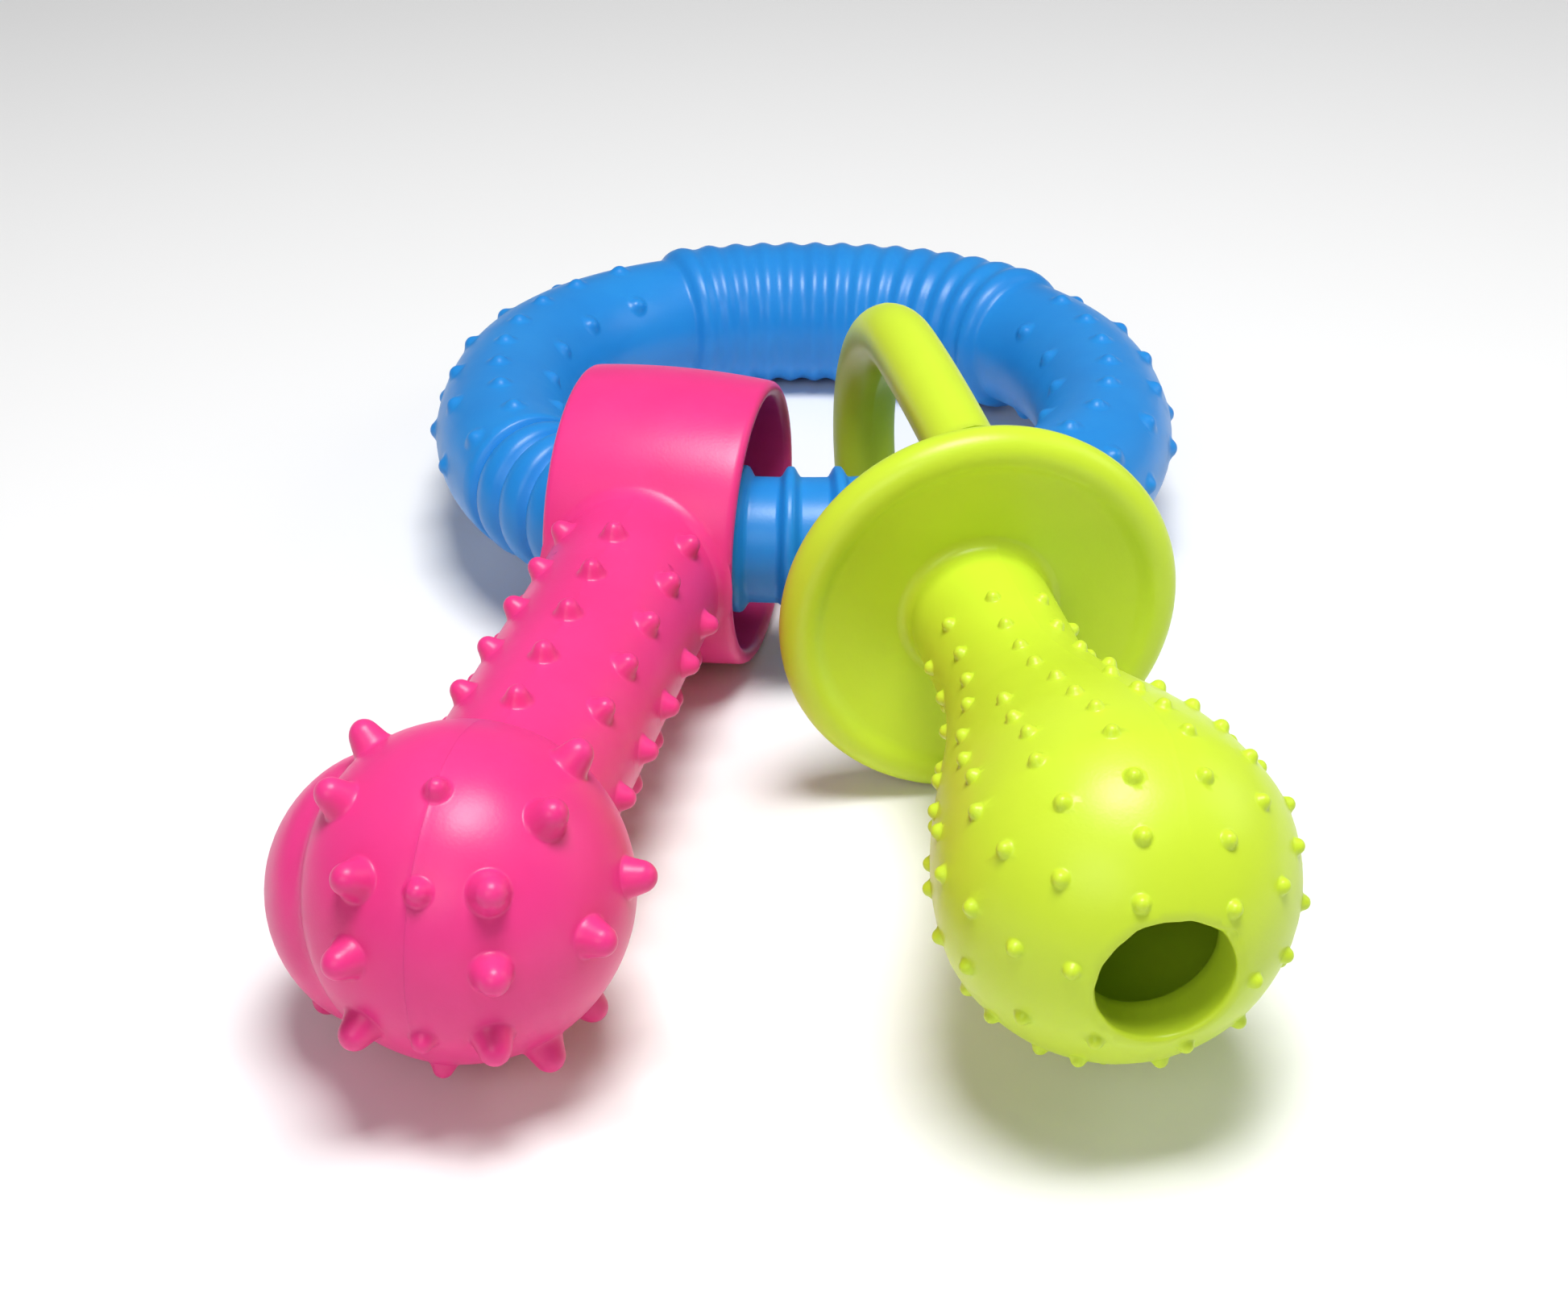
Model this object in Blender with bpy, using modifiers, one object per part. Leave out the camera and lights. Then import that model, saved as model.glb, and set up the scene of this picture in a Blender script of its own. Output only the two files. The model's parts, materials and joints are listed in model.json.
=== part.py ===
"""Baby rattle: a ribbed ring carrying a spiked rattle stick and a dummy-shaped teether.

Frame: +Z up, +Y from the two toys towards the far side of the ring, origin on the
floor under the middle of the object. Lengths below are in millimetres and are turned
into metres by MM where geometry is made.
"""
import math

import bmesh
import bpy
from mathutils import Matrix, Vector

MM = 0.001
GAP = 0.4                      # clearance between pieces that touch on the real object

# Ring: a closed tube, raised at the front where the strap and the handle pass under it
RING_CENTRE = (1.31, 43.46, 15.68)
RING_HALF_WIDTH = 44.1         # of the tube's centre line, along X
RING_HALF_DEPTH = 46.6         # of the tube's centre line, along Y
RING_SQUARENESS = 2.25         # 2 is an ellipse, more fills out its corners
RING_TILT_DEG = -5.3           # about X, front up
TUBE_R = 9.8                   # the nubbed sides
RIB_ROOT_R = 10.3              # the closely ribbed back
RIB_CREST_R = 11.6
WAIST_R = 8.2                  # the thinner front, with narrow ridges
RIDGE_CREST_R = 9.7
BACK_ZONE = (41.0, 117.0)      # degrees round the ring, 0 at +X, 90 at the back
FRONT_ZONE = (215.0, 303.0)
RIB_COUNT = 14
RIDGE_PITCH_DEG = 8.3
RIDGE_HALF_DEG = 1.7
RIDGE_PHASE_DEG = 259.0        # one ridge sits here
BAND_STOP_DEG = 233.0          # the front zone is thick and banded up to here
BAND_R = 9.5
RIB_STEPS = 4                  # rings of vertices in a rib, and in the pitch of a ridge
RIDGE_STEPS = 5
SIDE_STEP_DEG = 6.0
# Rows of nubs on the sides: lean from the outer edge upwards, pitch, and start, in degrees
SIDE_NUB_ROWS = ((0.0, 17.0, 0.0), (62.0, 13.0, 6.0), (118.0, 17.0, 3.0), (-62.0, 17.0, 8.0))
SIDE_NUB_MARGINS = (7.0, 5.0)  # degrees clear at the start and the end of a nubbed side
TUBE_BEVEL_RESOLUTION = 3
NUB_R = 1.7
NUB_TIP_R = 0.8
NUB_HEIGHT = 1.6
PIN_R = 3.0
PIN_LENGTH = 12.0

# Stick: strap loop, nubbed shaft and two-lobed hollow head
LOOP_CENTRE = (-16.59, 4.86, 19.7)
HEAD_CENTRE = (-35.09, -78.64, 20.4)
LOOP_INNER_R = 16.9
LOOP_OUTER_R = 19.6
LOOP_EDGE_R = 19.0
LOOP_HALF_WIDTH = 12.5
SHAFT_R = 11.2
SHAFT_START = 14.0             # distance from the loop's axis, inside the band
HEAD_R = 18.05
LOBE_R = 15.8
LOBE_OFFSET = (-6.6, 2.4, -2.6)
CAVITY_R = 12.5
STUB_R = 4.0
COLLAR_R = 6.3
COLLAR_LENGTH = 1.8
SHAFT_NUB_PITCH = 9.6
SHAFT_NUB_ROWS = 8
SHAFT_NUB_FIRST = 27.2
SPIKE_R = 2.3
SPIKE_TIP_R = 1.0
SPIKE_HEIGHT = 3.8
SMALL_SPIKE_SCALE = 0.6
HEAD_TURN_DEG = 3.5            # the pattern of spikes faces this much to the right
# Spikes in mirrored pairs: degrees from the plane of the seam, and round it from the front
SPIKE_PAIRS = ((36.0, 111.0), (36.0, 70.0), (22.0, 38.0), (24.0, 10.0), (22.0, -21.0),
               (33.0, -57.0), (42.0, -92.0), (60.0, 16.0), (78.0, 90.0))
SEAM_SPIKES = (70.0, 36.0, -19.0, -50.0, -85.0)
SHAFT_CLEAR = 48.0             # degrees round the shaft without spikes
LOBE_SPIKE_ACROSS = 34.0
LOBE_SPIKE_FIRST = -11.0       # degrees round from the front, upwards
LOBE_SPIKE_COUNT = 6

# Rattle inside the head: a capsule in two halves with loose beads
CAPSULE_R = 12.1
CAPSULE_WALL = 1.4
BEAD_R = 2.4
BEAD_SPACING_X = 5.1
BEAD_ROWS = ((-6.6, (0.0,)), (-4.2, (-1.0, 1.0)), (-1.2, (0.0,)), (1.2, (-1.0, 1.0)))

# Dummy: dished shield, hollow teat with a round mouth, D handle, plug
SHIELD_CENTRE = (22.61, -31.74, 24.75)
DUMMY_AZIMUTH_DEG = 10.6       # the teat points forward and this much towards +X
DUMMY_RISE_DEG = 0.7
SHIELD_R = 24.7
DISH_DEPTH = 3.0
DISH_FLAT_R = 10.0
DISH_RIM_R = 22.3
SHIELD_BACK = 7.5              # flat back face, behind the rim's front
RIM_R = 2.0
BULB_DISTANCE = 51.9           # rim plane to bulb centre
BULB_R = 19.0
MOUTH_R = 7.1
NECK_R = 8.7
NECK_START = 12.0
NECK_END = 54.0
HOLLOW_R = 15.0                # a ball inside the bulb, thick round the mouth
HOLLOW_DISTANCE = 49.8
PLUG_R = 4.0
PLUG_HEAD_R = 7.5
PLUG_HEAD_LENGTH = 2.0
PLUG_SEAT_R = 9.0              # shallow seat in the shield's back for the plug's head
PLUG_SEAT_DEPTH = 0.6
PLUG_REACH = 4.5               # how far the plug reaches in front of the rim plane
HANDLE_ORIGIN = (21.91, -29.24, 24.55)
HANDLE_AZIMUTH_DEG = 13.2
HANDLE_TUBE_R = 4.3
HANDLE_HALF_HEIGHT = 19.6
HANDLE_ROOT_HALF_HEIGHT = 17.0
HANDLE_STRAIGHT = 34.5         # from the handle's origin to the centre of its round end
HANDLE_START = 5.6             # legs begin here, just behind the shield
PEG_R = 2.5
PEG_LENGTH = 2.0

BLUE = (0.026, 0.263, 0.716)
PINK = (0.93, 0.085, 0.34)
GREEN = (0.68, 0.87, 0.071)
CLEAR_PLASTIC = (0.85, 0.86, 0.88)
BEAD_YELLOW = (0.85, 0.55, 0.05)


def clear_scene():
    for scene_object in list(bpy.data.objects):
        bpy.data.objects.remove(scene_object, do_unlink=True)


def new_collection(name):
    collection = bpy.data.collections.new(name)
    bpy.context.scene.collection.children.link(collection)
    return collection


def make_material(name, colour, roughness):
    material = bpy.data.materials.new(name)
    material.use_nodes = True
    shader = material.node_tree.nodes["Principled BSDF"]
    shader.inputs["Base Color"].default_value = (*colour, 1.0)
    shader.inputs["Roughness"].default_value = roughness
    shader.inputs["Metallic"].default_value = 0.0
    return material


def finish_object(obj, collection, matrix, material=None):
    collection.objects.link(obj)
    obj.matrix_world = matrix
    if material is None:
        obj.hide_render = True
        obj.display_type = "WIRE"
    else:
        obj.data.materials.clear()
        obj.data.materials.append(material)
        obj.data.shade_smooth()
        obj.data.set_sharp_from_angle(angle=math.radians(40))
    return obj


def mesh_object(name, build):
    """An unlinked mesh object whose shape the function build puts in a bmesh."""
    shape = bmesh.new()
    build(shape)
    mesh = bpy.data.meshes.new(name)
    shape.to_mesh(mesh)
    shape.free()
    return bpy.data.objects.new(name, mesh)


def turned(name, profile, steps, closed=False):
    """A profile of (radius, height), top to bottom on its outer side, turned about Z."""
    mesh = bpy.data.meshes.new(name)
    points = [(radius * MM, 0.0, height * MM) for radius, height in profile]
    edges = [(i, i + 1) for i in range(len(points) - 1)]
    if closed:
        edges.append((len(points) - 1, 0))
    mesh.from_pydata(points, edges, [])
    obj = bpy.data.objects.new(name, mesh)
    screw = obj.modifiers.new("turn", "SCREW")
    screw.axis = "Z"
    screw.steps = steps
    screw.render_steps = steps
    screw.use_merge_vertices = True
    screw.merge_threshold = 0.00001
    return obj


def cylinder(name, radius, length, segments=24):
    """A cylinder along Z, centred on the origin."""
    return mesh_object(name, lambda shape: bmesh.ops.create_cone(
        shape, cap_ends=True, segments=segments, radius1=radius * MM, radius2=radius * MM,
        depth=length * MM))


def sphere(name, radius, segments, rings):
    return mesh_object(name, lambda shape: bmesh.ops.create_uvsphere(
        shape, u_segments=segments, v_segments=rings, radius=radius * MM))


def nub_field(name, places, radius, tip_radius, height, segments=7, sink=1.0):
    """Blunt cones in one mesh. Each place is (foot, outward direction, scale)."""
    def build(shape):
        for foot, outward, scale in places:
            turn = Vector(outward).to_track_quat("Z", "Y").to_matrix().to_4x4()
            rise = Matrix.Translation((0.0, 0.0, (height * scale - sink) * 0.5 * MM))
            bmesh.ops.create_cone(
                shape, cap_ends=True, segments=segments,
                radius1=radius * scale * MM, radius2=tip_radius * scale * MM,
                depth=(height * scale + sink) * MM,
                matrix=Matrix.Translation(Vector(foot) * MM) @ turn @ rise)
    return mesh_object(name, build)


def tube_curve(name, points, radii, resolution):
    """A POLY curve with a round section; a point's radius is in millimetres."""
    curve = bpy.data.curves.new(name, "CURVE")
    curve.dimensions = "3D"
    curve.bevel_depth = MM
    curve.bevel_resolution = resolution
    curve.use_fill_caps = True
    spline = curve.splines.new("POLY")
    spline.points.add(len(points) - 1)
    for point, place, radius in zip(spline.points, points, radii):
        point.co = (*(Vector(place) * MM), 1.0)
        point.radius = radius
    return bpy.data.objects.new(name, curve)


def curve_to_mesh(obj):
    """An unlinked closed mesh object made from an unlinked curve object."""
    bpy.context.scene.collection.objects.link(obj)
    bpy.context.view_layer.update()
    evaluated = obj.evaluated_get(bpy.context.evaluated_depsgraph_get())
    mesh = bpy.data.meshes.new_from_object(evaluated)
    shape = bmesh.new()
    shape.from_mesh(mesh)
    bmesh.ops.remove_doubles(shape, verts=shape.verts, dist=0.000001)
    bmesh.ops.recalc_face_normals(shape, faces=shape.faces)
    shape.to_mesh(mesh)
    shape.free()
    name = obj.name
    bpy.data.objects.remove(obj, do_unlink=True)
    return bpy.data.objects.new(name, mesh)


def boolean(obj, operation, other):
    modifier = obj.modifiers.new(operation.lower(), "BOOLEAN")
    modifier.operation = operation
    modifier.solver = "EXACT"
    modifier.object = other


def place(position, rotation=None):
    matrix = Matrix.Translation(Vector(position) * MM)
    if rotation is not None:
        matrix = matrix @ rotation.to_4x4()
    return matrix


# ---- ring ----

RING_MATRIX = place(RING_CENTRE, Matrix.Rotation(math.radians(RING_TILT_DEG), 3, "X"))


def ring_point(theta_deg):
    """A point of the tube's centre line."""
    theta = math.radians(theta_deg)
    across, along = math.cos(theta), math.sin(theta)
    filling = (abs(across) ** RING_SQUARENESS + abs(along) ** RING_SQUARENESS) ** (-1.0 / RING_SQUARENESS)
    return Vector((RING_HALF_WIDTH * across, RING_HALF_DEPTH * along, 0.0)) * filling


def ring_tangent(theta_deg):
    small = 0.1
    return (ring_point(theta_deg + small) - ring_point(theta_deg - small)).normalized()


def ring_radius(theta_deg):
    """Radius of the tube round the ring: ribs at the back, ridges on the waist in front."""
    theta = theta_deg % 360.0
    if BACK_ZONE[0] <= theta <= BACK_ZONE[1]:
        part = (theta - BACK_ZONE[0]) / (BACK_ZONE[1] - BACK_ZONE[0])
        wave = 0.5 - 0.5 * math.cos(2.0 * math.pi * RIB_COUNT * part)
        return RIB_ROOT_R + (RIB_CREST_R - RIB_ROOT_R) * wave
    if FRONT_ZONE[0] <= theta < BAND_STOP_DEG:
        return BAND_R
    if BAND_STOP_DEG <= theta <= FRONT_ZONE[1]:
        off_ridge = (theta - RIDGE_PHASE_DEG + RIDGE_PITCH_DEG / 2) % RIDGE_PITCH_DEG
        off_ridge = abs(off_ridge - RIDGE_PITCH_DEG / 2)
        return RIDGE_CREST_R if off_ridge < RIDGE_HALF_DEG else WAIST_R
    return TUBE_R


def section_angles(start, stop):
    """Angles along a section: close together on ribs and ridges, wide on the sides."""
    rib_step = (BACK_ZONE[1] - BACK_ZONE[0]) / RIB_COUNT / RIB_STEPS
    ridge_step = RIDGE_PITCH_DEG / RIDGE_STEPS
    end_step = 0.4
    angles = [start, start + end_step]
    theta = start + ridge_step
    while theta < stop - ridge_step:
        angles.append(theta)
        wrapped = theta % 360.0
        if BACK_ZONE[0] - rib_step <= wrapped < BACK_ZONE[1]:
            theta += rib_step
        elif FRONT_ZONE[0] <= wrapped < FRONT_ZONE[1]:
            theta += ridge_step
        else:
            theta += SIDE_STEP_DEG
    return angles + [stop - end_step, stop]


def ring_nubs():
    """Rows of nubs on the two side zones: outer edge, top, inner edge and underside."""
    places = []
    sides = ((BACK_ZONE[1], FRONT_ZONE[0]), (FRONT_ZONE[1], BACK_ZONE[0] + 360.0))
    for side_start, side_stop in sides:
        for lean_deg, pitch, phase in SIDE_NUB_ROWS:
            theta = side_start + SIDE_NUB_MARGINS[0] + phase
            while theta < side_stop - SIDE_NUB_MARGINS[1]:
                lean = math.radians(lean_deg)
                outward = Vector((0.0, 0.0, 1.0)).cross(ring_tangent(theta)) * -1.0
                direction = outward * math.cos(lean) + Vector((0.0, 0.0, math.sin(lean)))
                places.append((ring_point(theta) + direction * TUBE_R, direction, 1.0))
                theta += pitch
    return places


def make_ring(parts, cutters, blue, pin_plastic):
    nubs = nub_field("ring_nubs", ring_nubs(), NUB_R, NUB_TIP_R, NUB_HEIGHT, segments=6)
    finish_object(nubs, cutters, RING_MATRIX)
    gap_deg = math.degrees(GAP / RING_HALF_DEPTH)
    sections = {
        "ring_front_section": (FRONT_ZONE[0] + gap_deg / 2, FRONT_ZONE[1] - gap_deg / 2),
        "ring_back_section": (FRONT_ZONE[1] - 360.0 + gap_deg / 2, FRONT_ZONE[0] - gap_deg / 2),
    }
    pin_cutters = []
    for side, theta in (("left", FRONT_ZONE[0]), ("right", FRONT_ZONE[1])):
        turn = ring_tangent(theta).to_track_quat("Z", "Y").to_matrix()
        matrix = RING_MATRIX @ place(ring_point(theta), turn)
        pin = cylinder("ring_joint_pin_" + side, PIN_R, PIN_LENGTH)
        finish_object(pin, parts, matrix, pin_plastic)
        socket = cylinder("ring_socket_" + side, PIN_R + GAP, PIN_LENGTH + 2 * GAP)
        pin_cutters.append(finish_object(socket, cutters, matrix))
    for name, (start, stop) in sections.items():
        angles = section_angles(start, stop)
        curve = tube_curve(name, [ring_point(a) for a in angles], [ring_radius(a) for a in angles],
                           TUBE_BEVEL_RESOLUTION)
        section = curve_to_mesh(curve)
        if name == "ring_back_section":
            boolean(section, "UNION", nubs)
        for socket in pin_cutters:
            boolean(section, "DIFFERENCE", socket)
        finish_object(section, parts, RING_MATRIX, blue)


# ---- stick ----

def stick_rotation():
    """Columns: the loop's axis, from the head to the loop, and up."""
    back = (Vector(LOOP_CENTRE) - Vector(HEAD_CENTRE)).normalized()
    across = back.cross(Vector((0.0, 0.0, 1.0))).normalized()
    return Matrix((across, back, across.cross(back))).transposed()


STICK_ROTATION = stick_rotation()
STICK_MATRIX = place(LOOP_CENTRE, STICK_ROTATION)
STICK_LENGTH = (Vector(LOOP_CENTRE) - Vector(HEAD_CENTRE)).length
HEAD_MATRIX = STICK_MATRIX @ place((0.0, -STICK_LENGTH, 0.0))
FACE_LOOP_AXIS = Matrix.Rotation(math.radians(90.0), 4, "Y")     # local Z to +X
FACE_FORWARD = Matrix.Rotation(math.radians(90.0), 4, "X")       # local Z to -Y


def loop_profile():
    """Band section: crowned outside, straight inside, edges eased."""
    ease = 0.7
    crown = []
    for step in range(-3, 4):
        across = step / 3.0
        radius = LOOP_OUTER_R - (LOOP_OUTER_R - LOOP_EDGE_R) * across * across
        crown.append((radius, -across * (LOOP_HALF_WIDTH - ease)))
    inner = [(LOOP_EDGE_R - ease, -LOOP_HALF_WIDTH), (LOOP_INNER_R + ease, -LOOP_HALF_WIDTH),
             (LOOP_INNER_R, -LOOP_HALF_WIDTH + ease), (LOOP_INNER_R, LOOP_HALF_WIDTH - ease),
             (LOOP_INNER_R + ease, LOOP_HALF_WIDTH), (LOOP_EDGE_R - ease, LOOP_HALF_WIDTH)]
    return crown + inner


def shaft_nubs():
    places = []
    shaft_stop = STICK_LENGTH - HEAD_R + 1.0
    for row in range(SHAFT_NUB_ROWS):
        angle = 2.0 * math.pi * row / SHAFT_NUB_ROWS
        direction = Vector((math.sin(angle), 0.0, math.cos(angle)))
        along = SHAFT_NUB_FIRST - (row % 2) * SHAFT_NUB_PITCH / 2
        while along < shaft_stop:
            places.append((direction * SHAFT_R + Vector((0.0, -along, 0.0)), direction, 1.0))
            along += SHAFT_NUB_PITCH
    return places


def spike_direction(across_deg, round_deg):
    """Direction at an angle from the head's seam plane, and round it from the front, upwards."""
    across = math.radians(across_deg)
    turn = math.radians(round_deg)
    return Vector((math.sin(across), -math.cos(across) * math.cos(turn),
                   math.cos(across) * math.sin(turn)))


def head_spikes():
    """Mirrored pairs of spikes on the near lobe, and small ones along its seam."""
    spots = [(0.0, turn, SMALL_SPIKE_SCALE) for turn in SEAM_SPIKES]
    for across, turn in SPIKE_PAIRS:
        spots += [(across, turn, 1.0), (-across, turn, 1.0)]
    facing = Matrix.Rotation(math.radians(HEAD_TURN_DEG), 3, "Z")
    places = []
    for across, turn, scale in spots:
        direction = facing @ spike_direction(across, turn)
        if direction.y < math.cos(math.radians(SHAFT_CLEAR)):
            places.append((direction * HEAD_R, direction, scale))
    return [spike for spike in places if outside_lobe(spike[0], 1.0)]


def outside_lobe(point, clearance):
    return (Vector(point) - Vector(LOBE_OFFSET)).length > LOBE_R + clearance


def lobe_spikes():
    """A ring of spikes round the lobe, beside the near lobe's own."""
    places = []
    for step in range(LOBE_SPIKE_COUNT):
        turn = LOBE_SPIKE_FIRST + 360.0 * step / LOBE_SPIKE_COUNT
        direction = spike_direction(-LOBE_SPIKE_ACROSS, turn)
        foot = Vector(LOBE_OFFSET) + direction * LOBE_R
        if foot.length > HEAD_R + 2.0 and direction.y < 0.75:
            places.append((foot, direction, 1.0))
    return places


def make_stick(parts, cutters, pink):
    band = turned("stick", loop_profile(), 40, closed=True)
    shaft_stop = STICK_LENGTH - HEAD_R + 6.0
    shaft = cylinder("shaft_blank", SHAFT_R, shaft_stop - SHAFT_START, segments=28)
    middle = -(shaft_stop + SHAFT_START) / 2
    finish_object(shaft, cutters, STICK_MATRIX @ place((0.0, middle, 0.0)) @ FACE_FORWARD)
    mid_wall = (LOOP_INNER_R + LOOP_EDGE_R) / 2
    bore = cylinder("loop_bore", mid_wall, 4 * LOOP_HALF_WIDTH, segments=40)
    finish_object(bore, cutters, STICK_MATRIX @ FACE_LOOP_AXIS)
    boolean(shaft, "DIFFERENCE", bore)
    seat = sphere("head_seat", HEAD_R + GAP, 32, 16)
    finish_object(seat, cutters, HEAD_MATRIX)
    lobe_seat = sphere("lobe_seat", LOBE_R + GAP, 28, 14)
    finish_object(lobe_seat, cutters, HEAD_MATRIX @ place(LOBE_OFFSET))
    nubs = nub_field("shaft_nubs", shaft_nubs(), NUB_R + 0.5, NUB_TIP_R, NUB_HEIGHT + 0.8, segments=6)
    finish_object(nubs, cutters, STICK_MATRIX)
    collar_far = HEAD_R - 3.8 - COLLAR_LENGTH
    stub = turned("stub", [(0.0, -collar_far), (COLLAR_R, -collar_far),
                           (COLLAR_R, -collar_far - COLLAR_LENGTH), (STUB_R, -collar_far - COLLAR_LENGTH),
                           (STUB_R, -HEAD_R - 3.0), (0.0, -HEAD_R - 3.0)], 20)
    finish_object(stub, cutters, HEAD_MATRIX @ FACE_FORWARD)
    for operation, tool in (("UNION", shaft), ("UNION", nubs), ("DIFFERENCE", seat),
                            ("DIFFERENCE", lobe_seat), ("UNION", stub)):
        boolean(band, operation, tool)
    finish_object(band, parts, STICK_MATRIX @ FACE_LOOP_AXIS, pink)


def make_head(parts, cutters, pink):
    collar_far = HEAD_R - 3.8 - COLLAR_LENGTH
    collar_near = collar_far + COLLAR_LENGTH + GAP
    pocket = turned("collar_pocket", [(0.0, -CAVITY_R + 3.0), (COLLAR_R + GAP, -CAVITY_R + 3.0),
                                      (COLLAR_R + GAP, -collar_near), (STUB_R + GAP, -collar_near),
                                      (STUB_R + GAP, -HEAD_R - 4.0), (0.0, -HEAD_R - 4.0)], 20)
    finish_object(pocket, cutters, HEAD_MATRIX @ FACE_FORWARD)
    cavity = finish_object(sphere("head_cavity", CAVITY_R, 24, 14), cutters, HEAD_MATRIX)
    lobe = finish_object(sphere("head_lobe", LOBE_R, 28, 14), cutters, HEAD_MATRIX @ place(LOBE_OFFSET))
    spikes = nub_field("head_spikes", head_spikes(), SPIKE_R, SPIKE_TIP_R, SPIKE_HEIGHT)
    finish_object(spikes, cutters, HEAD_MATRIX)
    more = nub_field("lobe_spikes", lobe_spikes(), SPIKE_R, SPIKE_TIP_R, SPIKE_HEIGHT)
    finish_object(more, cutters, HEAD_MATRIX)
    block = 60.0
    for side, sign in (("left", -1.0), ("right", 1.0)):
        half_space = mesh_object(
            "half_" + side, lambda shape: bmesh.ops.create_cube(shape, size=block * MM))
        finish_object(half_space, cutters,
                      HEAD_MATRIX @ place((sign * (block / 2 + GAP / 2), 0.0, 0.0)))
        shell = sphere("head_shell_" + side, HEAD_R, 32, 16)
        if side == "left":
            boolean(shell, "UNION", lobe)
            boolean(shell, "UNION", more)
        boolean(shell, "UNION", spikes)
        boolean(shell, "INTERSECT", half_space)
        boolean(shell, "DIFFERENCE", cavity)
        boolean(shell, "DIFFERENCE", pocket)
        finish_object(shell, parts, HEAD_MATRIX, pink)


def make_rattle(parts, capsule_plastic, bead_plastic):
    arc_steps = 4
    turns = [math.pi / 2 * step / arc_steps for step in range(arc_steps + 1)]
    outer = [(CAPSULE_R * math.sin(turn), CAPSULE_R * math.cos(turn)) for turn in turns]
    inner_r = CAPSULE_R - CAPSULE_WALL
    inner = [(inner_r * math.sin(turn), inner_r * math.cos(turn)) for turn in reversed(turns)]
    lift = GAP / 2
    profile = [(radius, height + lift) for radius, height in outer + inner]
    half_turns = (("front", FACE_FORWARD), ("back", Matrix.Rotation(math.radians(-90.0), 4, "X")))
    for side, turn in half_turns:
        half = turned("capsule_half_" + side, profile, 18)
        finish_object(half, parts, HEAD_MATRIX @ turn, capsule_plastic)
    bead_mesh = sphere("bead", BEAD_R, 10, 6)
    count = 0
    for height, spots in BEAD_ROWS:
        for spot in spots:
            count += 1
            bead = bpy.data.objects.new("bead_%d" % count, bead_mesh.data)
            spot_matrix = HEAD_MATRIX @ place((spot * BEAD_SPACING_X, 0.0, height))
            finish_object(bead, parts, spot_matrix, bead_plastic)
    bpy.data.objects.remove(bead_mesh)


# ---- dummy ----

def dummy_rotation(azimuth_deg, rise_deg):
    turn = Matrix.Rotation(math.radians(azimuth_deg), 3, "Z")
    return turn @ Matrix.Rotation(math.radians(-rise_deg), 3, "X")


DUMMY_MATRIX = place(SHIELD_CENTRE, dummy_rotation(DUMMY_AZIMUTH_DEG, DUMMY_RISE_DEG))
HANDLE_MATRIX = place(HANDLE_ORIGIN, dummy_rotation(HANDLE_AZIMUTH_DEG, 0.0))


def teat_outer_radius(forward):
    """Pear shape: neck, smooth swell, then the bulb's sphere."""
    if forward >= NECK_END:
        return math.sqrt(max(0.0, BULB_R ** 2 - (forward - BULB_DISTANCE) ** 2))
    part = min(1.0, max(0.0, (forward - NECK_START) / (NECK_END - NECK_START)))
    swell = part * part * (3.0 - 2.0 * part)
    full = math.sqrt(BULB_R ** 2 - (NECK_END - BULB_DISTANCE) ** 2)
    return NECK_R + (full - NECK_R) * swell


def teat_profile():
    """From the back of the hollow out to the mouth, then back down the outside."""
    start = math.degrees(math.asin(MOUTH_R / BULB_R))
    outer = []
    cap_steps = 8
    neck_turn = math.degrees(math.acos((NECK_END - BULB_DISTANCE) / BULB_R))
    for step in range(cap_steps + 1):
        turn = math.radians(start + (neck_turn - start) * step / cap_steps)
        outer.append((BULB_R * math.sin(turn), BULB_DISTANCE + BULB_R * math.cos(turn)))
    neck_steps = 9
    for step in range(1, neck_steps + 1):
        forward = NECK_END - (NECK_END - NECK_START) * step / neck_steps
        outer.append((teat_outer_radius(forward), forward))
    base = -DISH_DEPTH + GAP
    outer.append((NECK_R, base))
    socket = [(PLUG_R + GAP, base), (PLUG_R + GAP, PLUG_REACH + GAP), (0.0, PLUG_REACH + GAP)]
    inner_start = math.degrees(math.asin(MOUTH_R / HOLLOW_R))
    inner = [(0.0, HOLLOW_DISTANCE - HOLLOW_R)]
    hollow_steps = 12
    for step in range(1, hollow_steps + 1):
        turn = math.radians(180.0 + (inner_start - 180.0) * step / hollow_steps)
        inner.append((HOLLOW_R * math.sin(turn), HOLLOW_DISTANCE + HOLLOW_R * math.cos(turn)))
    return inner + outer + socket


def make_teat(parts, green):
    teat = turned("teat", teat_profile(), 28)
    finish_object(teat, parts, DUMMY_MATRIX @ FACE_FORWARD, green)


def shield_profile():
    """Saucer: flat middle, dished front, round rim, flat back with a bevelled edge."""
    rim_centre_r = SHIELD_R - RIM_R
    rim_centre_h = -RIM_R
    front = []
    dish_steps = 6
    for step in range(dish_steps + 1):
        part = step / dish_steps
        radius = DISH_FLAT_R + (DISH_RIM_R - DISH_FLAT_R) * part
        front.append((radius, -DISH_DEPTH + (DISH_DEPTH - 0.25) * part * part))
    rim = []
    for step in range(1, 6):
        turn = math.radians(80.0 - 40.0 * step)
        rim.append((rim_centre_r + RIM_R * math.cos(turn), rim_centre_h + RIM_R * math.sin(turn)))
    hole = PLUG_R + GAP
    return ([(hole, -DISH_DEPTH)] + front + rim
            + [(SHIELD_R - 5.0, -SHIELD_BACK + 0.6), (SHIELD_R - 6.5, -SHIELD_BACK),
               (PLUG_SEAT_R, -SHIELD_BACK), (PLUG_SEAT_R, -SHIELD_BACK + PLUG_SEAT_DEPTH),
               (hole, -SHIELD_BACK + PLUG_SEAT_DEPTH)])


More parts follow.
